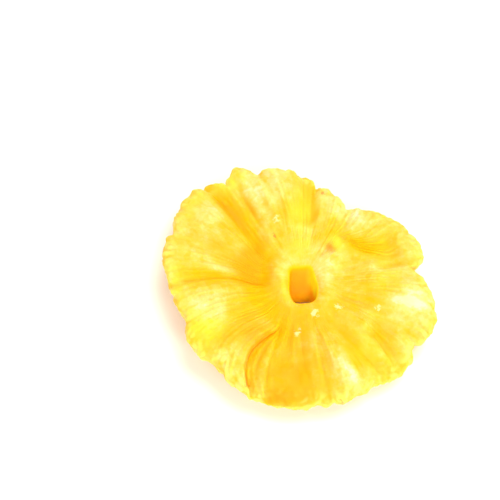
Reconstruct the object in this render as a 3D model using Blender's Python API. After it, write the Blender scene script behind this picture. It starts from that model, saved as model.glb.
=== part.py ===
"""A ring of dried pineapple, lying on a flat surface with its open face up.

The ring is one solid: a thick disc of flesh, cored in the middle, that has shrunk into puffed
lobes with creases between them. It starts as a torus. Every point of the torus is read as an
angle round the ring and a place round its section, and is put where the form says.
Metres throughout; angles in degrees, anticlockwise from +X, with +Y the ring's far side.
"""

import math

import bpy
import numpy as np

NAME = "pineapple_ring"

# Mesh of the solid: steps round the ring and round its section.
STEPS_ROUND = 160
STEPS_SECTION = 30
WALL_SHARE = 0.37  # height of the section's walls against its width, for spacing points only
RIM_POWER = 3.0  # 2 is an ellipse, more is squarer
WALL_POWER = 14.0

# The core hole, cut a little taller than wide. Below, it has drawn in and leans towards -Y.
HOLE_HALF_WIDTH = 0.0037
HOLE_HALF_HEIGHT = 0.0056
HOLE_POWER = 4.5
HOLE_FLARE = 0.17  # how much wider it is drawn towards +Y, which its shift takes back
HOLE_TURN = 5.5  # its upright axis is turned by this, anticlockwise
HOLE_DRAWN_WIDTH = 0.02
HOLE_DRAWN_HEIGHT = 0.36
HOLE_LEAN = 0.0059
HOLE_SHIFT = 0.0014  # how far off the middle it lies, towards -Y

# Thickness of the flesh, half of it on each side of its middle surface.
HALF_THICKNESS = 0.0038
BELLY_DEPTH = 0.0011
BELLY_RADIUS = 0.0215
BELLY_WIDTH = 0.0095
COLLAR_HEIGHT = 0.0018
COLLAR_REACH = 0.0019
COLLAR_REACH_SIDE = 0.0012  # further out towards +X
COLLAR_REACH_FAR = 0.0046  # and further still towards +Y

# The dished face: a moat round the collar, deepest on the -X side, and a rim that lifts.
BASE_HEIGHT = 0.0048
MOAT_DEPTH = 0.0030
MOAT_RADIUS = 0.0130
MOAT_WIDTH = 0.0048
MOAT_SIDE = 172.0
RIM_LIFT_POWER = 1.7
RIM_LIFT_SHARPNESS = 14.0

# Fibre bundles that run from the core to the rim, and the uneven edge.
BUNDLE_WAVES = (21, 46)
BUNDLE_HEIGHT = 0.00016
EDGE_WAVES = (25, 60)
EDGE_HEIGHT = 0.00028
SAG_WAVES = (2, 6)
SAG_HEIGHT = 0.00055

REST_SHARE = 0.05  # how much of the flesh is pressed flat by lying

# Lobes, in order round the ring: the angle of the notch where each starts and the rim's radius
# there, the angle and radius of the lobe's crest, and how high the rim lifts.
LOBES = (
    (8.0, 0.0319, 14.0, 0.0369, 0.0022),
    (27.0, 0.0357, 38.0, 0.0345, 0.0016),
    (61.0, 0.0286, 74.0, 0.0322, 0.0020),
    (81.3, 0.0322, 82.4, 0.0337, 0.0020),
    (83.5, 0.0353, 103.0, 0.0390, 0.0038),
    (111.0, 0.0383, 117.5, 0.0433, 0.0040),
    (124.7, 0.0394, 129.5, 0.0438, 0.0010),
    (134.2, 0.0424, 140.0, 0.0443, 0.0072),
    (161.0, 0.0403, 167.5, 0.0418, 0.0068),
    (182.0, 0.0390, 190.0, 0.0382, 0.0052),
    (204.0, 0.0363, 212.0, 0.0385, 0.0050),
    (227.0, 0.0367, 240.0, 0.0384, 0.0028),
    (254.0, 0.0389, 268.0, 0.0390, 0.0008),
    (277.5, 0.0376, 286.0, 0.0388, 0.0026),
    (302.0, 0.0375, 318.0, 0.0397, 0.0018),
    (329.0, 0.0366, 341.5, 0.0402, 0.0040),
)
LOBE_ROUNDNESS = 0.7

# Creases, in order round the ring: inner radius and angle, outer radius and angle, sideways bow,
# depth, width of the clockwise and of the anticlockwise side, how far the anticlockwise side
# leans over the crease (the clockwise side where negative), and half the floor's width in degrees.
CREASES = (
    (0.0230, 12.0, 0.0400, 8.0, 0.0, 0.0018, 0.0024, 0.0014, 0.0, 0.0),
    (0.0185, 44.0, 0.0270, 22.0, -3.0, 0.0022, 0.0026, 0.0022, 0.0, 4.5),
    (0.0210, 57.0, 0.0300, 60.0, 0.0, 0.0012, 0.0030, 0.0030, 0.0, 0.0),
    (0.0195, 84.5, 0.0430, 87.0, 0.0, 0.0026, 0.0012, 0.0016, 0.0005, 2.2),
    (0.0300, 107.0, 0.0450, 111.0, 0.0, 0.0009, 0.0016, 0.0016, 0.0, 0.0),
    (0.0230, 123.0, 0.0400, 120.5, 0.0, 0.0013, 0.0008, 0.0020, -0.0003, 0.0),
    (0.0170, 139.0, 0.0450, 132.0, -3.0, 0.0031, 0.0032, 0.0012, 0.0004, 1.2),
    (0.0110, 177.0, 0.0400, 186.0, -1.0, 0.0018, 0.0024, 0.0011, 0.0006, 0.0),
    (0.0270, 202.0, 0.0420, 204.5, 0.0, 0.0007, 0.0026, 0.0026, 0.0, 0.0),
    (0.0150, 243.0, 0.0385, 247.0, -9.0, 0.0030, 0.0008, 0.0034, -0.0014, 0.0),
    (0.0160, 257.0, 0.0470, 266.0, 0.0, 0.0018, 0.0007, 0.0016, -0.0004, 10.5),
    (0.0240, 281.0, 0.0430, 279.5, 0.0, 0.0012, 0.0010, 0.0020, 0.0, 0.0),
    (0.0160, 304.0, 0.0430, 306.0, 1.0, 0.0013, 0.0014, 0.0022, 0.0, 0.0),
    (0.0245, 321.5, 0.0430, 311.5, 0.0, 0.0022, 0.0011, 0.0028, -0.0006, 0.8),
    (0.0330, 331.0, 0.0430, 329.0, 0.0, 0.0014, 0.0012, 0.0014, 0.0, 0.0),
)
CREASE_FADE = 0.0050
CREASE_ROUNDING = 0.0005
CREASE_LIMIT = 0.0085
SHARE_BELOW = 0.28  # how much of the creases the underside follows

# Pillows where the flesh has puffed up, and dimples where it has sunk: angle and radius, height,
# and how far each spreads outward and sideways.
PILLOWS = (
    (347.0, 0.0312, 0.0013, 0.0075, 0.0055),
    (292.5, 0.0305, 0.0016, 0.0080, 0.0036),
    (106.0, 0.0320, 0.0013, 0.0070, 0.0060),
    (100.0, 0.0225, 0.0009, 0.0045, 0.0035),
    (199.0, 0.0315, 0.0012, 0.0070, 0.0070),
    (228.0, 0.0300, 0.0011, 0.0085, 0.0040),
    (143.0, 0.0350, 0.0008, 0.0050, 0.0050),
    (47.0, 0.0200, 0.0009, 0.0025, 0.0025),
    (173.5, 0.0240, 0.0008, 0.0065, 0.0016),
    (210.0, 0.0209, -0.0011, 0.0040, 0.0035),
    (160.0, 0.0225, -0.0010, 0.0060, 0.0055),
    (122.0, 0.0175, 0.0008, 0.0040, 0.0028),
    (218.0, 0.0304, -0.0006, 0.0025, 0.0025),
)

FLESH_COLOUR = (0.95, 0.70, 0.06, 1.0)
FLESH_ROUGHNESS = 0.42


def smooth(share):
    """0 below 0, 1 above 1, and an easy slope between."""
    share = np.clip(share, 0.0, 1.0)
    return share * share * (3.0 - 2.0 * share)


def ripples(angle, across, waves, seed, parts=14):
    """An uneven rise and fall round the ring, from -1 to 1 or so, that leans a little outward."""
    draw = np.random.default_rng(seed)
    total = np.zeros(np.broadcast(angle, across).shape)
    for _ in range(parts):
        count = draw.integers(waves[0], waves[1])
        start, lean = draw.uniform(0.0, 2.0 * math.pi), draw.normal(0.0, 2.5)
        total += np.cos(count * angle + start + lean * across)
    return total / math.sqrt(parts)


def section_places(turn):
    """A walk round the rounded section: how far out and how far up each point lies, -1 to 1."""
    reach = 1.0 + WALL_SHARE
    walk = turn / (2.0 * math.pi) * 4.0 * reach

    def swing(distance):
        return np.abs((distance + 2.0 * reach) % (4.0 * reach) - 2.0 * reach) * -1.0 + reach

    out = np.clip(swing(walk), -1.0, 1.0)
    up = np.clip(swing(walk - reach), -WALL_SHARE, WALL_SHARE) / WALL_SHARE
    power = np.where(out < 0.0, WALL_POWER, RIM_POWER)
    shrink = (np.abs(out) ** power + np.abs(up) ** power) ** (-1.0 / power)
    return out * shrink, up * shrink


def rim_radius(angle):
    """The outline: each lobe swells between its two notches, most at its crest."""
    degrees = np.degrees(angle) % 360.0
    starts, notch, tops, crest, _ = np.array(LOBES).T
    here = (np.searchsorted(starts, degrees, side="right") - 1) % len(LOBES)
    after = (here + 1) % len(LOBES)
    span = (starts[after] - starts[here]) % 360.0
    share = ((degrees - starts[here]) % 360.0) / span
    top_share = (tops[here] - starts[here]) / span
    swing = np.sin(math.pi * share ** (math.log(0.5) / np.log(top_share)))
    between = notch[here] + (notch[after] - notch[here]) * share
    swell = crest[here] - notch[here] - (notch[after] - notch[here]) * top_share
    return between + swell * np.clip(swing, 0.0, 1.0) ** LOBE_ROUNDNESS


def rim_lift(angle):
    """How high the rim stands, eased from lobe to lobe."""
    starts, _, _, _, lifts = np.array(LOBES).T
    middles = np.radians(starts + (np.roll(starts, -1) - starts) % 360.0 / 2.0)
    weight = np.exp(RIM_LIFT_SHARPNESS * np.cos(angle[..., None] - middles))
    return (weight * lifts).sum(axis=-1) / weight.sum(axis=-1)


def hole_radius(angle):
    """The core hole's outline, a rounded upright rectangle."""
    turned = angle - np.radians(HOLE_TURN)
    half_width = HOLE_HALF_WIDTH * (1.0 + HOLE_FLARE * np.sin(turned))
    wide = (np.abs(np.cos(turned)) / half_width) ** HOLE_POWER
    tall = (np.abs(np.sin(turned)) / HOLE_HALF_HEIGHT) ** HOLE_POWER
    return (wide + tall) ** (-1.0 / HOLE_POWER) - HOLE_SHIFT * np.sin(angle)


def turned_past(angle, degrees):
    """How far an angle lies past a direction, the shorter way round."""
    return (angle - np.radians(degrees) + math.pi) % (2.0 * math.pi) - math.pi


def crease_line(crease, radius):
    """The angle, in degrees, at which a crease runs at this radius."""
    inner, inner_deg, outer, outer_deg, bow = crease[:5]
    along = np.clip((radius - inner) / (outer - inner), 0.0, 1.0)
    return inner_deg + (outer_deg - inner_deg) * along + bow * 4.0 * along * (1.0 - along)


def crease_cut(angle, radius):
    """How deep the creases cut at each place, and how far their sides lean over them."""
    cut, lean = np.zeros(radius.shape), np.zeros(radius.shape)
    for crease in CREASES:
        inner, outer = crease[0], crease[2]
        depth, before, after, over, floor = crease[5:]
        aside = radius * turned_past(angle, crease_line(crease, radius))
        past_floor = np.maximum(np.abs(aside) - radius * math.radians(floor), 0.0)
        width = np.where(aside < 0.0, before, after)
        steps = (np.hypot(past_floor, CREASE_ROUNDING) - CREASE_ROUNDING) / width
        ends = smooth((radius - inner) / CREASE_FADE + 0.5) * (1.0 - smooth((radius - outer) / CREASE_FADE))
        cut += depth * np.exp(-steps) * ends
        lip = (1.0 - np.exp(-steps)) * np.exp(-steps / 4.0)
        lean -= over * 1.9 * lip * ends * (aside * over > 0.0)
    return CREASE_LIMIT * (1.0 - np.exp(-cut / CREASE_LIMIT)), lean


def pillow_height(angle, radius):
    """How far the pillows and dimples lift or sink the face."""
    total = np.zeros(radius.shape)
    for degrees, reach, tall, outward, sideways in PILLOWS:
        along = (radius - reach) / outward
        aside = radius * turned_past(angle, degrees) / sideways
        total += tall * np.exp(-(along**2) - aside**2)
    return total


def ring_radius(angle, across):
    """Distance from the centre, a share of the way from the core hole to the rim."""
    hole = hole_radius(angle)
    return hole + (rim_radius(angle) - hole) * across


def turned_to_creases(angle, across):
    """The mesh's own angles, turned so that its lines run along the creases."""
    rims = np.array([crease_line(crease, crease[2]) for crease in CREASES])
    step = 360.0 / angle.shape[0]
    knots = np.round(rims / step) * step
    turned = np.empty(angle.shape)
    for column in range(angle.shape[1]):
        share = across[0, column]
        lines = rims.copy()
        for _ in range(6):
            radius = ring_radius(np.radians(lines), share)
            lines = np.array([crease_line(crease, r) for crease, r in zip(CREASES, radius)])
        degrees = np.degrees(angle[:, column]) % 360.0
        turned[:, column] = np.radians(degrees + np.interp(degrees, knots, lines - knots, period=360.0))
    return turned


def ring_points(angle, turn):
    """The ring's surface at each angle round the ring and turn round the section."""
    out, up = section_places(turn)
    across = (out + 1.0) / 2.0
    angle = turned_to_creases(angle, across)
    edge = EDGE_HEIGHT * ripples(angle, up, EDGE_WAVES, seed=4)
    radius = ring_radius(angle, across) + edge * across**3

    past_hole = radius - hole_radius(angle)
    reach = COLLAR_REACH + COLLAR_REACH_SIDE * (1.0 + np.cos(angle)) / 2.0
    reach = reach + COLLAR_REACH_FAR * smooth(np.sin(angle))
    collar_side = 0.72 + 0.28 * np.sin(angle + math.radians(20.0))
    collar = COLLAR_HEIGHT * collar_side * np.exp(-(((past_hole / reach - 1.0) / 0.9) ** 2))
    moat_side = 0.55 + 0.45 * np.cos(angle - math.radians(MOAT_SIDE))
    moat = MOAT_DEPTH * moat_side * np.exp(-(((radius - MOAT_RADIUS) / MOAT_WIDTH) ** 2))
    lift = rim_lift(angle) * across**RIM_LIFT_POWER
    sag = SAG_HEIGHT * ripples(angle, across, SAG_WAVES, seed=2) * across
    belly = BELLY_DEPTH * np.exp(-((np.maximum(radius - BELLY_RADIUS, 0.0) / BELLY_WIDTH) ** 2))

    cut, lean = crease_cut(angle, radius)
    grows = smooth(across * 2.2)
    bundles = BUNDLE_HEIGHT * grows * ripples(angle, 3.0 * across, BUNDLE_WAVES, seed=7)
    bundles_below = BUNDLE_HEIGHT * grows * ripples(angle, 3.0 * across, BUNDLE_WAVES, seed=8)
    face_up = np.clip(up, 0.0, 1.0)
    face_down = np.clip(-up, 0.0, 1.0)
    height = BASE_HEIGHT + lift + sag + HALF_THICKNESS * up
    height += face_up * (collar + bundles + pillow_height(angle, radius))
    height += face_down * (bundles_below - belly)
    height -= cut * (SHARE_BELOW + (1.0 - SHARE_BELOW) * (up + 1.0) / 2.0)
    height -= moat * (up + 1.0) / 2.0
    angle = angle + lean * face_up / radius
    drawn = smooth((0.85 - up) / 1.5) * (1.0 - across**2) ** 3
    x = radius * np.cos(angle) * (1.0 - HOLE_DRAWN_WIDTH * drawn)
    y = radius * np.sin(angle) * (1.0 - HOLE_DRAWN_HEIGHT * drawn) - HOLE_LEAN * drawn
    return np.stack([x, y, height], axis=-1)


def laid_down(points):
    """The ring over the origin, its lowest flesh pressed flat where it lies."""
    low, high = points.min(axis=0), points.max(axis=0)
    ground = np.quantile(points[:, 2], REST_SHARE)
    moved = points - [(low[0] + high[0]) / 2.0, (low[1] + high[1]) / 2.0, ground]
    moved[:, 2] = np.maximum(moved[:, 2], 0.0)
    return moved


def flesh_material():
    material = bpy.data.materials.new("dried_flesh")
    material.use_nodes = True
    shader = material.node_tree.nodes["Principled BSDF"]
    shader.inputs["Base Color"].default_value = FLESH_COLOUR
    shader.inputs["Roughness"].default_value = FLESH_ROUGHNESS
    shader.inputs["Metallic"].default_value = 0.0
    return material


def build_ring(collection):
    bpy.ops.mesh.primitive_torus_add(
        major_segments=STEPS_ROUND, minor_segments=STEPS_SECTION, major_radius=1.0, minor_radius=0.5
    )
    ring = bpy.context.object
    ring.name = NAME
    mesh = ring.data
    place = np.empty(len(mesh.vertices) * 3)
    mesh.vertices.foreach_get("co", place)
    x, y, z = place.reshape(STEPS_ROUND, STEPS_SECTION, 3).transpose(2, 0, 1)
    points = ring_points(np.arctan2(y, x), np.arctan2(z, np.hypot(x, y) - 1.0))
    mesh.vertices.foreach_set("co", laid_down(points.reshape(-1, 3)).ravel())
    mesh.shade_smooth()
    mesh.update()
    mesh.materials.append(flesh_material())
    for owner in list(ring.users_collection):
        owner.objects.unlink(ring)
    collection.objects.link(ring)


for old in list(bpy.data.objects):
    bpy.data.objects.remove(old)
fruit = bpy.data.collections.new("dried_pineapple")
bpy.context.scene.collection.children.link(fruit)
build_ring(fruit)
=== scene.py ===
"""A ring of dried pineapple, laid flat in soft studio light."""

import math

import bpy
import numpy as np
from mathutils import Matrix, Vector, noise


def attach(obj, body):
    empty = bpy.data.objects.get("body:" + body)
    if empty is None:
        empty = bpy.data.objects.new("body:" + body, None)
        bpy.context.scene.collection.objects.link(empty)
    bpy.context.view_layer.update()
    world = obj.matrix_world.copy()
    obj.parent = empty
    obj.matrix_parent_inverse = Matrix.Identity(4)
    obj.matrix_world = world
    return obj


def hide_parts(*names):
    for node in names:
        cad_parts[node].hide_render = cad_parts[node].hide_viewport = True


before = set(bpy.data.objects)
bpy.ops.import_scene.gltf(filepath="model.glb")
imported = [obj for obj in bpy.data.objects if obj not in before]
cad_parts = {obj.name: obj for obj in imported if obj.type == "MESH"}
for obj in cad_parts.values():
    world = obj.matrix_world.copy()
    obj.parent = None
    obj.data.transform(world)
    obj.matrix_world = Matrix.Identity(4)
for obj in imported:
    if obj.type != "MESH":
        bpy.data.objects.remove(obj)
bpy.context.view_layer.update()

# The ring. A slice cut across the fruit and cored, then dried until it has shrunk into puffed
# lobes with creases between them, a lifted rim and a raised collar round the core hole.
# It is soft, see-through flesh; its folds are painted deep orange as shade, and where it stands out it is
# painted pale as light.

STEPS_ROUND = 600
STEPS_SECTION = 156
WALL_SHARE = 0.37  # height of the section's walls against its width, for spacing points only
RIM_POWER = 3.0  # 2 is an ellipse, more is squarer
WALL_POWER = 14.0

# The core hole, cut a little taller than wide. Below, it has drawn in and leans towards -Y.
HOLE_HALF_WIDTH = 0.0037
HOLE_HALF_HEIGHT = 0.0056
HOLE_POWER = 4.5
HOLE_FLARE = 0.17  # how much wider it is drawn towards +Y, which its shift takes back
HOLE_TURN = 5.5  # its upright axis is turned by this, anticlockwise
HOLE_DRAWN_WIDTH = 0.02
HOLE_DRAWN_HEIGHT = 0.36
HOLE_LEAN = 0.0059
HOLE_DRAWN_FROM = 0.85  # how high on its wall the drawing-in starts, -1 to 1
HOLE_DRAWN_OVER = 1.5  # and over how much of the wall's height it grows
HOLE_SHIFT = 0.0014  # how far off the middle it lies, towards -Y

# Thickness of the flesh, half of it on each side of its middle surface.
HALF_THICKNESS = 0.0038
BELLY_DEPTH = 0.0011
BELLY_RADIUS = 0.0215
BELLY_WIDTH = 0.0095
COLLAR_HEIGHT = 0.0018
COLLAR_REACH = 0.0019
COLLAR_REACH_SIDE = 0.0012  # further out towards +X
COLLAR_REACH_FAR = 0.0046  # and further still towards +Y
COLLAR_WIDTH = 0.9  # against its reach
COLLAR_SIDE = 70.0  # the direction in which it is highest
COLLAR_LEAST = 0.44  # its height on the other side, against its highest

# The dished face: a moat round the collar, deepest towards one side, and a rim that lifts.
BASE_HEIGHT = 0.0048
MOAT_DEPTH = 0.0030
MOAT_RADIUS = 0.0130
MOAT_WIDTH = 0.0048
MOAT_SIDE = 172.0  # the direction in which it is deepest
MOAT_LEAST = 0.10  # its depth on the other side, against its deepest
RIM_LIFT_POWER = 1.7
RIM_LIFT_SHARPNESS = 14.0

# Fibre bundles that run from the core to the rim, and the uneven edge.
BUNDLE_WAVES = (21, 46)
BUNDLE_HEIGHT = 0.00016
EDGE_WAVES = (25, 60)
EDGE_HEIGHT = 0.00028
SAG_WAVES = (2, 6)
SAG_HEIGHT = 0.00055

REST_SHARE = 0.05  # how much of the flesh is pressed flat by lying

# Lobes, in order round the ring: the angle of the notch where each starts and the rim's radius
# there, the angle and radius of the lobe's crest, and how high the rim lifts.
LOBES = (
    (8.0, 0.0319, 14.0, 0.0369, 0.0022),
    (27.0, 0.0357, 38.0, 0.0345, 0.0016),
    (61.0, 0.0286, 74.0, 0.0322, 0.0020),
    (81.3, 0.0322, 82.4, 0.0337, 0.0020),
    (83.5, 0.0353, 103.0, 0.0390, 0.0038),
    (111.0, 0.0383, 117.5, 0.0433, 0.0040),
    (124.7, 0.0394, 129.5, 0.0438, 0.0010),
    (134.2, 0.0424, 140.0, 0.0443, 0.0072),
    (161.0, 0.0403, 167.5, 0.0418, 0.0068),
    (182.0, 0.0390, 190.0, 0.0382, 0.0052),
    (204.0, 0.0363, 212.0, 0.0385, 0.0050),
    (227.0, 0.0367, 240.0, 0.0384, 0.0028),
    (254.0, 0.0389, 268.0, 0.0390, 0.0008),
    (277.5, 0.0376, 286.0, 0.0388, 0.0026),
    (302.0, 0.0375, 318.0, 0.0397, 0.0018),
    (329.0, 0.0366, 341.5, 0.0402, 0.0040),
)
LOBE_ROUNDNESS = 0.7

# Creases, in order round the ring: inner radius and angle, outer radius and angle, sideways bow,
# depth, width of the clockwise and of the anticlockwise side, how far the anticlockwise side
# leans over the crease (the clockwise side where negative), and half the floor's width in degrees.
CREASES = (
    (0.0230, 12.0, 0.0400, 8.0, 0.0, 0.0018, 0.0024, 0.0014, 0.0, 0.0),
    (0.0185, 44.0, 0.0270, 22.0, -3.0, 0.0022, 0.0026, 0.0022, 0.0, 4.5),
    (0.0210, 57.0, 0.0300, 60.0, 0.0, 0.0012, 0.0030, 0.0030, 0.0, 0.0),
    (0.0195, 84.5, 0.0430, 87.0, 0.0, 0.0026, 0.0012, 0.0016, 0.0005, 2.2),
    (0.0300, 107.0, 0.0450, 111.0, 0.0, 0.0009, 0.0016, 0.0016, 0.0, 0.0),
    (0.0230, 123.0, 0.0400, 120.5, 0.0, 0.0013, 0.0008, 0.0020, -0.0003, 0.0),
    (0.0170, 139.0, 0.0450, 132.0, -3.0, 0.0031, 0.0032, 0.0012, 0.0004, 1.2),
    (0.0110, 177.0, 0.0400, 186.0, -1.0, 0.0018, 0.0024, 0.0011, 0.0006, 0.0),
    (0.0270, 202.0, 0.0420, 204.5, 0.0, 0.0007, 0.0026, 0.0026, 0.0, 0.0),
    (0.0150, 243.0, 0.0385, 247.0, -9.0, 0.0030, 0.0008, 0.0034, -0.0014, 0.0),
    (0.0160, 257.0, 0.0470, 266.0, 0.0, 0.0018, 0.0007, 0.0016, -0.0004, 10.5),
    (0.0240, 281.0, 0.0430, 279.5, 0.0, 0.0012, 0.0010, 0.0020, 0.0, 0.0),
    (0.0160, 304.0, 0.0430, 306.0, 1.0, 0.0013, 0.0014, 0.0022, 0.0, 0.0),
    (0.0245, 321.5, 0.0430, 311.5, 0.0, 0.0022, 0.0011, 0.0028, -0.0006, 0.8),
    (0.0330, 331.0, 0.0430, 329.0, 0.0, 0.0014, 0.0012, 0.0014, 0.0, 0.0),
)
CREASE_FADE = 0.0050
CREASE_ROUNDING = 0.0005
CREASE_LIMIT = 0.0085
LIP_PEAK = 1.9  # brings the furthest lean of a lip to what its row says
SHARE_BELOW = 0.28  # how much of the creases the underside follows

# Pillows where the flesh has puffed up, and dimples where it has sunk: angle and radius, height,
# and how far each spreads outward and sideways.
PILLOWS = (
    (347.0, 0.0312, 0.0013, 0.0075, 0.0055),
    (292.5, 0.0305, 0.0016, 0.0080, 0.0036),
    (106.0, 0.0320, 0.0013, 0.0070, 0.0060),
    (100.0, 0.0225, 0.0009, 0.0045, 0.0035),
    (199.0, 0.0315, 0.0012, 0.0070, 0.0070),
    (228.0, 0.0300, 0.0011, 0.0085, 0.0040),
    (143.0, 0.0350, 0.0008, 0.0050, 0.0050),
    (47.0, 0.0200, 0.0009, 0.0025, 0.0025),
    (173.5, 0.0240, 0.0008, 0.0065, 0.0016),
    (210.0, 0.0209, -0.0011, 0.0040, 0.0035),
    (160.0, 0.0225, -0.0010, 0.0060, 0.0055),
    (122.0, 0.0175, 0.0008, 0.0040, 0.0028),
    (218.0, 0.0304, -0.0006, 0.0025, 0.0025),
)


def smooth(share):
    """0 below 0, 1 above 1, and an easy slope between."""
    share = np.clip(share, 0.0, 1.0)
    return share * share * (3.0 - 2.0 * share)


def ripples(angle, across, waves, seed, parts=14):
    """An uneven rise and fall round the ring, from -1 to 1 or so, that leans a little outward."""
    draw = np.random.default_rng(seed)
    total = np.zeros(np.broadcast(angle, across).shape)
    for _ in range(parts):
        count = draw.integers(waves[0], waves[1])
        start, lean = draw.uniform(0.0, 2.0 * math.pi), draw.normal(0.0, 2.5)
        total += np.cos(count * angle + start + lean * across)
    return total / math.sqrt(parts)


def heavier_towards(angle, degrees, least):
    """A share that is 1 towards a direction and falls to the least on the other side."""
    return least + (1.0 - least) * (1.0 + np.cos(angle - math.radians(degrees))) / 2.0


def section_places(turn):
    """A walk round the rounded section: how far out and how far up each point lies, -1 to 1."""
    reach = 1.0 + WALL_SHARE
    walk = turn / (2.0 * math.pi) * 4.0 * reach

    def swing(distance):
        return reach - np.abs((distance + 2.0 * reach) % (4.0 * reach) - 2.0 * reach)

    out = np.clip(swing(walk), -1.0, 1.0)
    up = np.clip(swing(walk - reach), -WALL_SHARE, WALL_SHARE) / WALL_SHARE
    power = np.where(out < 0.0, WALL_POWER, RIM_POWER)
    shrink = (np.abs(out) ** power + np.abs(up) ** power) ** (-1.0 / power)
    return out * shrink, up * shrink


def rim_radius(angle):
    """The outline: each lobe swells between its two notches, most at its crest."""
    degrees = np.degrees(angle) % 360.0
    starts, notch, tops, crest, _ = np.array(LOBES).T
    here = (np.searchsorted(starts, degrees, side="right") - 1) % len(LOBES)
    after = (here + 1) % len(LOBES)
    span = (starts[after] - starts[here]) % 360.0
    share = ((degrees - starts[here]) % 360.0) / span
    top_share = (tops[here] - starts[here]) / span
    swing = np.sin(math.pi * share ** (math.log(0.5) / np.log(top_share)))
    between = notch[here] + (notch[after] - notch[here]) * share
    swell = crest[here] - notch[here] - (notch[after] - notch[here]) * top_share
    return between + swell * np.clip(swing, 0.0, 1.0) ** LOBE_ROUNDNESS


def rim_lift(angle):
    """How high the rim stands, eased from lobe to lobe."""
    starts, _, _, _, lifts = np.array(LOBES).T
    middles = np.radians(starts + (np.roll(starts, -1) - starts) % 360.0 / 2.0)
    weight = np.exp(RIM_LIFT_SHARPNESS * np.cos(angle[..., None] - middles))
    return (weight * lifts).sum(axis=-1) / weight.sum(axis=-1)


def hole_radius(angle):
    """The core hole's outline, a rounded upright rectangle."""
    turned = angle - np.radians(HOLE_TURN)
    half_width = HOLE_HALF_WIDTH * (1.0 + HOLE_FLARE * np.sin(turned))
    wide = (np.abs(np.cos(turned)) / half_width) ** HOLE_POWER
    tall = (np.abs(np.sin(turned)) / HOLE_HALF_HEIGHT) ** HOLE_POWER
    return (wide + tall) ** (-1.0 / HOLE_POWER) - HOLE_SHIFT * np.sin(angle)


def turned_past(angle, degrees):
    """How far an angle lies past a direction, the shorter way round."""
    return (angle - np.radians(degrees) + math.pi) % (2.0 * math.pi) - math.pi


def crease_line(crease, radius):
    """The angle, in degrees, at which a crease runs at this radius."""
    inner, inner_deg, outer, outer_deg, bow = crease[:5]
    along = np.clip((radius - inner) / (outer - inner), 0.0, 1.0)
    return inner_deg + (outer_deg - inner_deg) * along + bow * 4.0 * along * (1.0 - along)


def crease_cut(angle, radius):
    """How deep the creases cut at each place, and how far their sides lean over them."""
    cut, lean = np.zeros(radius.shape), np.zeros(radius.shape)
    for crease in CREASES:
        inner, outer = crease[0], crease[2]
        depth, before, after, over, floor = crease[5:]
        aside = radius * turned_past(angle, crease_line(crease, radius))
        past_floor = np.maximum(np.abs(aside) - radius * math.radians(floor), 0.0)
        width = np.where(aside < 0.0, before, after)
        steps = (np.hypot(past_floor, CREASE_ROUNDING) - CREASE_ROUNDING) / width
        ends = smooth((radius - inner) / CREASE_FADE + 0.5) * (1.0 - smooth((radius - outer) / CREASE_FADE))
        cut += depth * np.exp(-steps) * ends
        lip = (1.0 - np.exp(-steps)) * np.exp(-steps / 4.0)
        lean -= over * LIP_PEAK * lip * ends * (aside * over > 0.0)
    return CREASE_LIMIT * (1.0 - np.exp(-cut / CREASE_LIMIT)), lean


def pillow_height(angle, radius):
    """How far the pillows and dimples lift or sink the face."""
    total = np.zeros(radius.shape)
    for degrees, reach, tall, outward, sideways in PILLOWS:
        along = (radius - reach) / outward
        aside = radius * turned_past(angle, degrees) / sideways
        total += tall * np.exp(-(along**2) - aside**2)
    return total


def ring_radius(angle, across):
    """Distance from the centre, a share of the way from the core hole to the rim."""
    hole = hole_radius(angle)
    return hole + (rim_radius(angle) - hole) * across


def turned_to_creases(angle, across):
    """The mesh's own angles, turned so that its lines run along the creases."""
    rims = np.array([crease_line(crease, crease[2]) for crease in CREASES])
    step = 360.0 / angle.shape[0]
    knots = np.round(rims / step) * step
    turned = np.empty(angle.shape)
    for column in range(angle.shape[1]):
        share = across[0, column]
        lines = rims.copy()
        for _ in range(6):
            radius = ring_radius(np.radians(lines), share)
            lines = np.array([crease_line(crease, r) for crease, r in zip(CREASES, radius)])
        degrees = np.degrees(angle[:, column]) % 360.0
        turned[:, column] = np.radians(degrees + np.interp(degrees, knots, lines - knots, period=360.0))
    return turned


# what the dried flesh has that the plain solid leaves out: fibres that run out from the core,
# knobs along the rim where the skin's eyes were cut away, and a skin that has puckered
FIBRE_WAVES = (70, 150)
FIBRE_HEIGHT = 0.00009
KNOB_HEIGHT = 0.00038
KNOB_SIZE = 0.0020
KNOB_SHARPNESS = 1.6
KNOB_LEVEL = 0.35  # how far the knobs are let into the skin, against KNOB_HEIGHT
KNOBS_FROM = 0.80  # how far out on the face they start, 0 to 1
KNOBS_EASE = 0.16
KNOBS_FURTHER_IN = 0.20  # on the side where they reach furthest in
KNOBS_SIDE = 218.0
KNOBS_SPREAD = 0.50  # how far that side goes each way, in radians
PUCKER_HEIGHT = 0.00030
PUCKER_SIZE = 0.0042
PUCKER_TALLNESS = 0.6  # below 1 they are drawn out upwards
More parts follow.
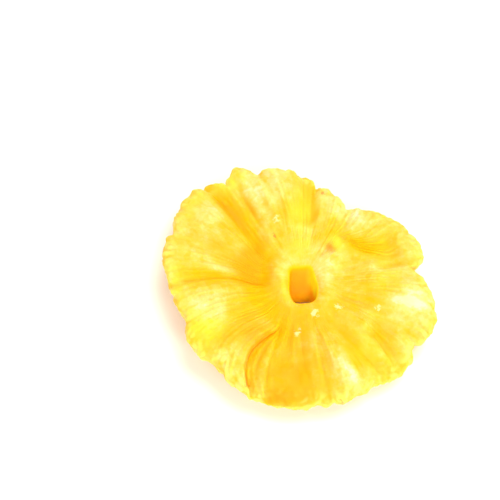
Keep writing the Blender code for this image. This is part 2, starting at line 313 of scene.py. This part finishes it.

# Where the flesh is deeper yellow, or paler where below 0: partly its own patchy tone and partly painted
# light, as the narrow pale rows are painted highlights on the lobes and other pale rows lighten the shade
# of creases, notches and dimples. In order round the ring: angle and distance from the core, how far it
# spreads outward and sideways, and how much.
TONE_AND_PAINTED_LIGHT = (
    (9.0, 0.0310, 0.0050, 0.0045, -0.90),
    (10.0, 0.0250, 0.0065, 0.0045, -1.50),
    (25.5, 0.0262, 0.0030, 0.0022, 0.90),
    (29.0, 0.0226, 0.0040, 0.0030, 1.20),
    (30.0, 0.0240, 0.0060, 0.0060, 0.20),
    (39.0, 0.0195, 0.0026, 0.0020, 1.00),
    (41.0, 0.0203, 0.0011, 0.0028, 1.30),
    (41.0, 0.0340, 0.0040, 0.0060, 0.50),
    (47.0, 0.0275, 0.0045, 0.0045, -0.60),
    (49.0, 0.0220, 0.0030, 0.0030, -0.50),
    (52.0, 0.0157, 0.0020, 0.0022, 0.70),
    (54.0, 0.0185, 0.0045, 0.0036, 1.50),
    (57.5, 0.0275, 0.0050, 0.0045, -1.90),
    (63.0, 0.0185, 0.0035, 0.0045, 0.70),
    (74.0, 0.0297, 0.0050, 0.0050, -0.90),
    (85.0, 0.0255, 0.0070, 0.0022, -0.70),
    (92.0, 0.0080, 0.0025, 0.0022, 0.80),
    (93.0, 0.0135, 0.0050, 0.0055, -1.15),
    (98.0, 0.0228, 0.0045, 0.0045, 1.80),
    (103.0, 0.0290, 0.0090, 0.0090, 0.30),
    (105.0, 0.0360, 0.0040, 0.0050, -0.50),
    (108.0, 0.0110, 0.0035, 0.0040, -0.50),
    (117.0, 0.0390, 0.0050, 0.0060, -0.80),
    (119.5, 0.0320, 0.0090, 0.0045, -0.80),
    (127.0, 0.0310, 0.0060, 0.0045, -0.55),
    (131.5, 0.0330, 0.0070, 0.0016, 0.40),
    (142.0, 0.0267, 0.0050, 0.0035, 0.80),
    (145.0, 0.0185, 0.0050, 0.0050, -0.50),
    (157.0, 0.0400, 0.0040, 0.0140, 0.50),
    (160.0, 0.0083, 0.0030, 0.0050, -0.50),
    (167.0, 0.0220, 0.0070, 0.0060, -0.25),
    (170.0, 0.0275, 0.0030, 0.0030, -0.50),
    (173.0, 0.0240, 0.0055, 0.0011, -1.20),
    (178.0, 0.0245, 0.0050, 0.0014, 0.90),
    (180.0, 0.0048, 0.0014, 0.0060, 0.90),
    (182.0, 0.0395, 0.0025, 0.0050, -1.10),
    (182.5, 0.0310, 0.0070, 0.0050, 1.55),
    (184.0, 0.0360, 0.0060, 0.0011, -1.20),
    (185.0, 0.0155, 0.0040, 0.0030, -0.50),
    (200.0, 0.0290, 0.0060, 0.0060, -0.50),
    (209.0, 0.0390, 0.0045, 0.0065, 2.20),
    (223.0, 0.0275, 0.0070, 0.0060, 1.70),
    (236.0, 0.0165, 0.0040, 0.0040, -0.50),
    (249.0, 0.0310, 0.0080, 0.0020, -0.80),
    (262.0, 0.0350, 0.0080, 0.0055, 0.60),
    (264.0, 0.0205, 0.0060, 0.0050, -0.90),
    (286.0, 0.0085, 0.0030, 0.0070, 0.90),
    (292.5, 0.0300, 0.0070, 0.0040, 0.55),
    (293.5, 0.0325, 0.0060, 0.0013, -1.70),
    (300.0, 0.0215, 0.0040, 0.0050, 0.50),
    (300.5, 0.0285, 0.0055, 0.0034, 2.20),
    (309.0, 0.0400, 0.0050, 0.0080, -0.40),
    (325.0, 0.0120, 0.0040, 0.0040, 0.65),
    (325.0, 0.0350, 0.0090, 0.0090, -0.60),
    (340.0, 0.0214, 0.0050, 0.0040, 0.90),
    (344.5, 0.0312, 0.0050, 0.0012, -2.00),
    (347.0, 0.0300, 0.0060, 0.0050, 0.35),
    (350.0, 0.0352, 0.0050, 0.0070, -0.50),
    (354.0, 0.0190, 0.0080, 0.0060, 0.60),
    (357.0, 0.0250, 0.0045, 0.0040, 0.90),
    (358.0, 0.0380, 0.0040, 0.0060, 0.60),
)

# Where its yellow turns to orange, or to lemon where below 0, in the same way: partly the flesh's own tone
# and partly painted light, as narrow orange rows deepen crease floors with painted shade and lemon rows
# lighten crests that lie in shade.
WARMTH = (
    (9.0, 0.0280, 0.0070, 0.0070, -0.50),
    (41.0, 0.0203, 0.0011, 0.0028, 0.60),
    (52.0, 0.0157, 0.0020, 0.0022, -0.90),
    (89.0, 0.0235, 0.0090, 0.0055, -0.50),
    (93.0, 0.0116, 0.0045, 0.0055, -0.75),
    (121.0, 0.0405, 0.0040, 0.0050, -0.80),
    (122.0, 0.0290, 0.0060, 0.0010, 0.45),
    (133.0, 0.0330, 0.0100, 0.0016, 0.90),
    (142.0, 0.0415, 0.0050, 0.0080, -0.60),
    (146.0, 0.0175, 0.0040, 0.0030, 0.60),
    (150.0, 0.0270, 0.0090, 0.0080, 0.30),
    (168.0, 0.0165, 0.0050, 0.0045, 0.90),
    (187.0, 0.0068, 0.0028, 0.0060, -0.50),
    (188.0, 0.0380, 0.0040, 0.0080, -0.60),
    (212.0, 0.0350, 0.0055, 0.0065, -0.90),
    (231.0, 0.0235, 0.0040, 0.0040, 0.45),
    (244.0, 0.0260, 0.0090, 0.0008, 0.60),
    (250.0, 0.0330, 0.0050, 0.0050, 0.45),
    (256.0, 0.0150, 0.0050, 0.0050, 0.40),
    (259.0, 0.0390, 0.0035, 0.0090, 1.10),
    (263.0, 0.0300, 0.0110, 0.0050, 0.45),
    (309.0, 0.0325, 0.0060, 0.0040, -0.40),
    (322.0, 0.0240, 0.0090, 0.0110, -0.20),
)

# The painted shadow lines under the lips of the creases, drawn in full where a lip leans this far.
LIP_SHADOW_WIDTH = 0.00045
LIP_SHADOW_LEAN = 0.0014

# the collar is painted paler by this share of its height, as painted light on a raised place
COLLAR_SHARE = 0.65  # how much of the collar counts as puffed up
MILLIMETRES = 1000.0

round_steps = np.arange(STEPS_ROUND) * 2.0 * math.pi / STEPS_ROUND
section_steps = np.arange(STEPS_SECTION) * 2.0 * math.pi / STEPS_SECTION
grain_angle, turn = np.meshgrid(round_steps, section_steps, indexing="ij")
out, up = section_places(turn)
across = (out + 1.0) / 2.0
angle = turned_to_creases(grain_angle, across)
edge = EDGE_HEIGHT * ripples(angle, up, EDGE_WAVES, seed=4)
radius = ring_radius(angle, across) + edge * across**3

past_hole = radius - hole_radius(angle)
reach = COLLAR_REACH + COLLAR_REACH_SIDE * heavier_towards(angle, 0.0, 0.0)
reach = reach + COLLAR_REACH_FAR * smooth(np.sin(angle))
collar = COLLAR_HEIGHT * np.exp(-(((past_hole / reach - 1.0) / COLLAR_WIDTH) ** 2))
collar *= heavier_towards(angle, COLLAR_SIDE, COLLAR_LEAST)
moat = MOAT_DEPTH * np.exp(-(((radius - MOAT_RADIUS) / MOAT_WIDTH) ** 2))
moat *= heavier_towards(angle, MOAT_SIDE, MOAT_LEAST)
lift = rim_lift(angle) * across**RIM_LIFT_POWER
sag = SAG_HEIGHT * ripples(angle, across, SAG_WAVES, seed=2) * across
belly = BELLY_DEPTH * np.exp(-((np.maximum(radius - BELLY_RADIUS, 0.0) / BELLY_WIDTH) ** 2))
cut, lean = crease_cut(angle, radius)
pillows = pillow_height(angle, radius)

# the fibre bundles fade in from the core and are full about half the way out
grows = smooth(across * 2.2)
bundles = BUNDLE_HEIGHT * grows * ripples(angle, 3.0 * across, BUNDLE_WAVES, seed=7)
bundles_below = BUNDLE_HEIGHT * grows * ripples(angle, 3.0 * across, BUNDLE_WAVES, seed=8)
fibres = FIBRE_HEIGHT * grows * ripples(grain_angle, 2.0 * across, FIBRE_WAVES, seed=9, parts=24)
face_up = np.clip(up, 0.0, 1.0)
face_down = np.clip(-up, 0.0, 1.0)
height = BASE_HEIGHT + lift + sag + HALF_THICKNESS * up + fibres
height += face_up * (collar + bundles + pillows) + face_down * (bundles_below - belly)
height -= cut * (SHARE_BELOW + (1.0 - SHARE_BELOW) * (up + 1.0) / 2.0)
height -= moat * (up + 1.0) / 2.0
angle = angle + lean * face_up / radius
drawn = smooth((HOLE_DRAWN_FROM - up) / HOLE_DRAWN_OVER) * (1.0 - across**2) ** 3
points = np.stack([
    radius * np.cos(angle) * (1.0 - HOLE_DRAWN_WIDTH * drawn),
    radius * np.sin(angle) * (1.0 - HOLE_DRAWN_HEIGHT * drawn) - HOLE_LEAN * drawn,
    height,
], axis=-1)

# outward normals of the grid of points, for relief that stands out from the skin
along_round = np.roll(points, -1, axis=0) - np.roll(points, 1, axis=0)
along_section = np.roll(points, -1, axis=1) - np.roll(points, 1, axis=1)
normals = np.cross(along_round, along_section)
normals /= np.maximum(np.linalg.norm(normals, axis=-1, keepdims=True), 1e-12)


def lumps(places, size, seed):
    """Soft lumps of about this size at each place, from -1 to 1 or so. Each seed gives others."""
    shifted = places.reshape(-1, 3) / size + seed * 17.3
    return np.array([noise.noise(Vector(place)) for place in shifted]).reshape(places.shape[:-1])


# the knobs reach furthest in on the near left side
wide_side = np.exp(-((turned_past(angle, KNOBS_SIDE) / KNOBS_SPREAD) ** 2))
rim_zone = smooth((across - KNOBS_FROM + KNOBS_FURTHER_IN * wide_side) / KNOBS_EASE)
knobs = np.abs(lumps(points, KNOB_SIZE, 1)) * KNOB_SHARPNESS - KNOB_LEVEL
puckers = lumps(points * [1.0, 1.0, PUCKER_TALLNESS], PUCKER_SIZE, 2) * smooth(across * 3.0)
relief = KNOB_HEIGHT * rim_zone * knobs + PUCKER_HEIGHT * puckers
points += normals * relief[..., None]

# centred, and lowered until the flesh it rests on is pressed flat
low, high = points.reshape(-1, 3).min(axis=0), points.reshape(-1, 3).max(axis=0)
ground = np.quantile(points[..., 2], REST_SHARE)
points -= [(low[0] + high[0]) / 2.0, (low[1] + high[1]) / 2.0, ground]
points[..., 2] = np.maximum(points[..., 2], 0.0)

corner = np.arange(STEPS_ROUND * STEPS_SECTION).reshape(STEPS_ROUND, STEPS_SECTION)
quads = np.stack([
    corner,
    np.roll(corner, -1, axis=0),
    np.roll(corner, (-1, -1), axis=(0, 1)),
    np.roll(corner, -1, axis=1),
], axis=-1)
flesh_mesh = bpy.data.meshes.new("dried_ring")
flesh_mesh.from_pydata(points.reshape(-1, 3).tolist(), [], quads.reshape(-1, 4).tolist())
flesh_mesh.shade_smooth()
flesh_mesh.update()
ring = bpy.data.objects.new("dried_ring", flesh_mesh)
bpy.context.scene.collection.objects.link(ring)


def keep_on_mesh(name, values):
    """Keeps a value at each point, for the finish to read."""
    flesh_mesh.attributes.new(name, "FLOAT", "POINT").data.foreach_set("value", np.ravel(values))


def patches(rows):
    """How much the rows of a table add up to at each place of the face."""
    total = np.zeros(radius.shape)
    for degrees, distance, outward, sideways, tint in rows:
        outward_by = (radius - distance) / outward
        aside_by = radius * turned_past(angle, degrees) / sideways
        total += tint * np.exp(-(outward_by**2) - aside_by**2)
    return total * face_up


def lip_shadows():
    """A thin painted shadow line under each lip that leans over its crease."""
    line = np.zeros(radius.shape)
    for crease in CREASES:
        inner, outer, over, floor = crease[0], crease[2], crease[8], crease[9]
        aside = radius * turned_past(angle, crease_line(crease, radius))
        edge_of_floor = radius * math.radians(floor) * np.sign(over)
        ends = smooth((radius - inner) / CREASE_FADE) * (1.0 - smooth((radius - outer) / CREASE_FADE))
        strength = (over / LIP_SHADOW_LEAN) ** 2
        line += strength * ends * np.exp(-(((aside - edge_of_floor) / LIP_SHADOW_WIDTH) ** 2))
    return line * face_up


# how far the face has sunk, in millimetres, which also sets how deep its colour is: painted shade in the
# folds and painted light where it has puffed up
sunk = (cut + moat - pillows - collar * COLLAR_SHARE) * MILLIMETRES * face_up
keep_on_mesh("sunk", sunk + patches(TONE_AND_PAINTED_LIGHT))
keep_on_mesh("warmth", patches(WARMTH))
keep_on_mesh("fold_line", lip_shadows())
keep_on_mesh("across", across)
keep_on_mesh("facing", up)
keep_on_mesh("stands_out", np.clip(relief / KNOB_HEIGHT + 0.5, 0.0, 1.0))
keep_on_mesh("grain_x", np.cos(grain_angle))
keep_on_mesh("grain_y", np.sin(grain_angle))


# The flesh's colours, from pale where it has puffed up, as painted light, to deep yellow where it has sunk,
# as painted shade.
FLESH_COLOURS = (
    (0.00, (0.93, 0.69, 0.400, 1.0)),
    (0.18, (0.93, 0.59, 0.165, 1.0)),
    (0.36, (0.93, 0.505, 0.068, 1.0)),
    (0.54, (0.94, 0.450, 0.024, 1.0)),
    (0.78, (0.95, 0.430, 0.004, 1.0)),
    (1.00, (0.96, 0.420, 0.001, 1.0)),
)
ORANGE, LEMON = (0.96, 0.33, 0.006, 1.0), (0.92, 0.63, 0.045, 1.0)
# a glow painted on the rim's knobs, and the shadow painted under each lip
PAINTED_RIM_GLOW, LIP_SHADOW = (0.93, 0.76, 0.20, 1.0), (0.85, 0.27, 0.006, 1.0)
# the core hole's wall colours are painted light and shade: deep orange for light bounced and passed through
# the flesh, a brighter bottom as painted glow, a yellower lit side
HOLE_TOP, HOLE_MIDDLE = (0.96, 0.50, 0.003, 1.0), (0.95, 0.33, 0.002, 1.0)
HOLE_BOTTOM, HOLE_LIT_SIDE = (1.00, 0.56, 0.010, 1.0), (1.00, 0.80, 0.012, 1.0)
HOLE_FAR_EDGE = (0.97, 0.50, 0.008, 1.0)

# Specks where the fruit's eyes were cut out, and flecks where it has dried white: where each
# one is, how wide, and its colour.
BROWN, WHITE = (0.42, 0.14, 0.02, 1.0), (0.95, 0.82, 0.42, 1.0)
SPECKS = (
    (-0.0068, 0.0151, 0.0008, BROWN),
    (-0.0148, -0.0326, 0.0008, BROWN),
    (0.0117, -0.0375, 0.0008, BROWN),
    (0.0079, 0.0293, 0.0006, BROWN),
    (0.0047, -0.0103, 0.0013, WHITE),
    (-0.0003, -0.0158, 0.0011, WHITE),
    (0.0117, -0.0082, 0.0012, WHITE),
    # this fleck lies at the end of the right lobe's highlight streak and is partly a painted highlight
    (0.0230, -0.0095, 0.0010, WHITE),
    (-0.0061, 0.0202, 0.0012, WHITE),
)


class Wire:
    """An output of a shader node. Sums and products of wires add their Math nodes."""

    def __init__(self, tree, socket=None):
        self.tree, self.socket = tree, socket

    def node(self, kind, settings, values, out=0):
        """A new node of this kind: its settings are set first, then its sockets."""
        made = self.tree.nodes.new(kind)
        for name, setting in settings.items():
            if name == "stops":
                ramp = made.color_ramp
                while len(ramp.elements) < len(setting):
                    ramp.elements.new(0.5)
                for element, (place, colour) in zip(ramp.elements, setting):
                    element.position, element.color = place, colour
            else:
                setattr(made, name, setting)
        for name, value in values.items():
            if isinstance(value, Wire):
                self.tree.links.new(value.socket, made.inputs[name])
            else:
                made.inputs[name].default_value = value
        return Wire(self.tree, made.outputs[out] if len(made.outputs) else None)

    def math(self, operation, first, second):
        return self.node("ShaderNodeMath", {"operation": operation}, {0: first, 1: second})

    def __add__(self, other):
        return self.math("ADD", self, other)

    def __sub__(self, other):
        return self.math("SUBTRACT", self, other)

    def __mul__(self, other):
        return self.math("MULTIPLY", self, other)


def flesh_finish():
    """Soft, see-through, lightly moist flesh, its colour from what is kept at each point."""
    material = bpy.data.materials.new("dried_flesh")
    material.use_nodes = True
    tree = material.node_tree
    tree.nodes.clear()
    start = Wire(tree)

    def mesh_value(name):
        return start.node("ShaderNodeAttribute", {"attribute_name": name}, {}, "Fac")

    def between(value, low, high):
        return start.node("ShaderNodeMapRange", {"interpolation_type": "SMOOTHSTEP", "clamp": True},
                          {"Value": value, "From Min": low, "From Max": high}, "Result")

    def blend(share, first, second):
        return start.node("ShaderNodeMix", {"data_type": "RGBA"}, {0: share, 6: first, 7: second}, 2)

    def noise_at(places, scale, detail, roughness):
        return start.node("ShaderNodeTexNoise", {}, {
            "Vector": places, "Scale": scale, "Detail": detail, "Roughness": roughness}, "Fac")

    across, stands_out = mesh_value("across"), mesh_value("stands_out")
    grain = start.node("ShaderNodeCombineXYZ", {}, {
        "X": mesh_value("grain_x"), "Y": mesh_value("grain_y"), "Z": across * 0.35})
    place = start.node("ShaderNodeTexCoord", {}, {}, "Object")

    strands = noise_at(grain, 18.0, 3.0, 0.5)
    hairs = noise_at(grain, 95.0, 2.0, 0.6)
    clouds = noise_at(place, 110.0, 2.0, 0.5)
    mottles = noise_at(place, 420.0, 2.0, 0.6)
    pores = noise_at(place, 1100.0, 2.0, 0.6)
    pits = noise_at(place, 330.0, 1.0, 0.4)
    pitted = between(pits, 0.56, 0.68)

    # paler or deeper with how far it has sunk, as painted light on the puffs and painted shade in the
    # folds, broken up by strands, clouds, mottles and pits
    uneven = strands * 1.8 + clouds * 2.0 + mottles * 2.6 + pores * 1.4 - 3.90 + pitted * 0.7
    sunk = mesh_value("sunk")
    colour = start.node("ShaderNodeValToRGB", {"stops": FLESH_COLOURS}, {
        "Fac": (sunk + uneven) * 0.18 + 0.345}, "Color")

    # a painted glow on top of the rim's knobs, orange or lemon in places, a painted shadow line under each
    # lip
    rim = between(across, 0.84, 0.99)
    colour = blend(rim * between(stands_out, 0.3, 0.9) * 0.4, colour, PAINTED_RIM_GLOW)
    warmth = mesh_value("warmth") + (clouds - 0.5) * 1.2
    colour = blend(between(warmth, 0.0, 1.0), colour, ORANGE)
    colour = blend(between(warmth, 0.0, -1.0), colour, LEMON)
    colour = blend(between(mesh_value("fold_line"), 0.05, 1.0) * 0.65, colour, LIP_SHADOW)

    # the wall of the core hole, painted with its light: deep orange as the glow of light bounced and passed
    # through the flesh, lighter at the top, brighter again at the bottom as painted glow in its shade,
    # yellower on its lit +X side and along its far edge
    facing = mesh_value("facing")
    cored = blend(between(facing, 0.95, 0.40), HOLE_TOP, HOLE_MIDDLE)
    cored = blend(between(facing, 0.00, -0.60), cored, HOLE_BOTTOM)
    near_light = between(mesh_value("grain_x"), 0.1, 0.8) * between(facing, -0.4, 0.3)
    cored = blend(near_light, cored, HOLE_LIT_SIDE)
    far_edge = between(mesh_value("grain_y"), 0.3, 0.9) * between(across, 0.042, 0.012)
    colour = blend(far_edge * 0.7, colour, HOLE_FAR_EDGE)
    colour = blend(between(across, 0.026, 0.004), colour, cored)

    # specks and flecks, uneven in outline and kept off the underside
    flat_place = start.node("ShaderNodeVectorMath", {"operation": "MULTIPLY"}, {
        0: place, 1: (1.0, 1.0, 0.0)})
    top = between(facing, -0.7, -0.3)
    for x, y, width, tint in SPECKS:
        apart = start.node("ShaderNodeVectorMath", {"operation": "DISTANCE"}, {
            0: flat_place, 1: (x, y, 0.0)}, "Value") + (pores - 0.5) * 0.0040
        colour = blend(between(apart, width, width * 0.2) * top * 0.6, colour, tint)

    relief = hairs * 0.25 + strands * 0.4 + mottles * 0.6 + pores * 0.25 - pitted * 0.25
    normal = start.node("ShaderNodeBump", {}, {
        "Strength": 0.35, "Distance": 0.0006, "Height": relief})
    raised = between(sunk, 0.4, -1.6)
    flesh = start.node("ShaderNodeBsdfPrincipled", {"subsurface_method": "RANDOM_WALK"}, {
        "Base Color": colour,
        "Roughness": between(pores, 0.2, 0.8) * 0.16 + 0.40,
        "IOR": 1.42,
        "Subsurface Weight": 1.0,
        "Subsurface Scale": 0.0022,
        "Subsurface Radius": (1.0, 0.75, 0.25),
        "Specular IOR Level": 0.04,
        "Coat Weight": raised * 0.30 + 0.02,
        "Coat Roughness": 0.24,
        "Normal": normal,
    })
    start.node("ShaderNodeOutputMaterial", {}, {"Surface": flesh})
    return material


flesh_mesh.materials.append(flesh_finish())
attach(ring, "root")
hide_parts("pineapple_ring")

# The surface it lies on. A plain, pale, matt sheet, large enough to fill the view, with a
# little warmth in its white.
bpy.ops.mesh.primitive_plane_add(size=3.0, location=(0.0, 0.0, 0.0))
surface = bpy.context.object
surface.name = "pale_surface"
paper = bpy.data.materials.new("pale_surface")
paper.use_nodes = True
paper_values = paper.node_tree.nodes["Principled BSDF"].inputs
paper_values["Base Color"].default_value = (0.97, 0.90, 0.81, 1.0)
paper_values["Roughness"].default_value = 0.75
surface.data.materials.append(paper)

# Soft light: a wide panel above the far right side, a second one low in front, and a pale room.
# Both are large, so the flesh shows no hard shadows and its folds keep the shade painted into them.
CENTRE = Vector((0.0, 0.0, 0.006))


def soft_panel(name, place, width, power, colour):
    """A lit panel at this place that faces the ring."""
    light = bpy.data.lights.new(name, "AREA")
    light.shape, light.size, light.size_y = "RECTANGLE", width, width * 0.8
    light.energy, light.color = power, colour
    lamp = bpy.data.objects.new(name, light)
    lamp.location = place
    lamp.rotation_euler = (CENTRE - Vector(place)).to_track_quat("-Z", "Y").to_euler()
    bpy.context.scene.collection.objects.link(lamp)


soft_panel("key_panel", (0.24, 0.26, 0.72), 0.60, 6.0, (1.0, 1.0, 0.98))
soft_panel("fill_panel", (0.05, -0.60, 0.40), 0.80, 6.0, (1.0, 1.0, 1.0))
room = bpy.data.worlds.new("pale_room")
room.use_nodes = True
room_values = room.node_tree.nodes["Background"].inputs
room_values["Color"].default_value = (1.0, 0.98, 0.94, 1.0)
room_values["Strength"].default_value = 0.52
bpy.context.scene.world = room
bpy.context.scene.view_settings.view_transform = "Standard"
bpy.context.scene.view_settings.look = "None"

# The camera. It looks down on the ring from its near side, square to X, with a long lens, and
# the core hole lies right of the picture's middle and below it.
ELEVATION = math.radians(62.0)
LENS = 100.0
SENSOR_WIDTH = 36.0
FRAME_WIDTH = 0.1466
HOLE_PLACE = Vector((0.0004, 0.0003, 0.0075))
ASIDE = 0.0145
ABOVE = 0.0093

camera_data = bpy.data.cameras.new("camera")
camera_data.lens, camera_data.sensor_width = LENS, SENSOR_WIDTH
camera_data.clip_start, camera_data.clip_end = 0.01, 10.0
camera = bpy.data.objects.new("camera", camera_data)
backward = Vector((0.0, -math.cos(ELEVATION), math.sin(ELEVATION)))
upward = Vector((0.0, math.sin(ELEVATION), math.cos(ELEVATION)))
aim = HOLE_PLACE - Vector((ASIDE, 0.0, 0.0)) + upward * ABOVE
camera.location = aim + backward * (FRAME_WIDTH * LENS / SENSOR_WIDTH)
camera.rotation_euler = (math.radians(90.0) - ELEVATION, 0.0, 0.0)
bpy.context.scene.collection.objects.link(camera)
bpy.context.scene.camera = camera
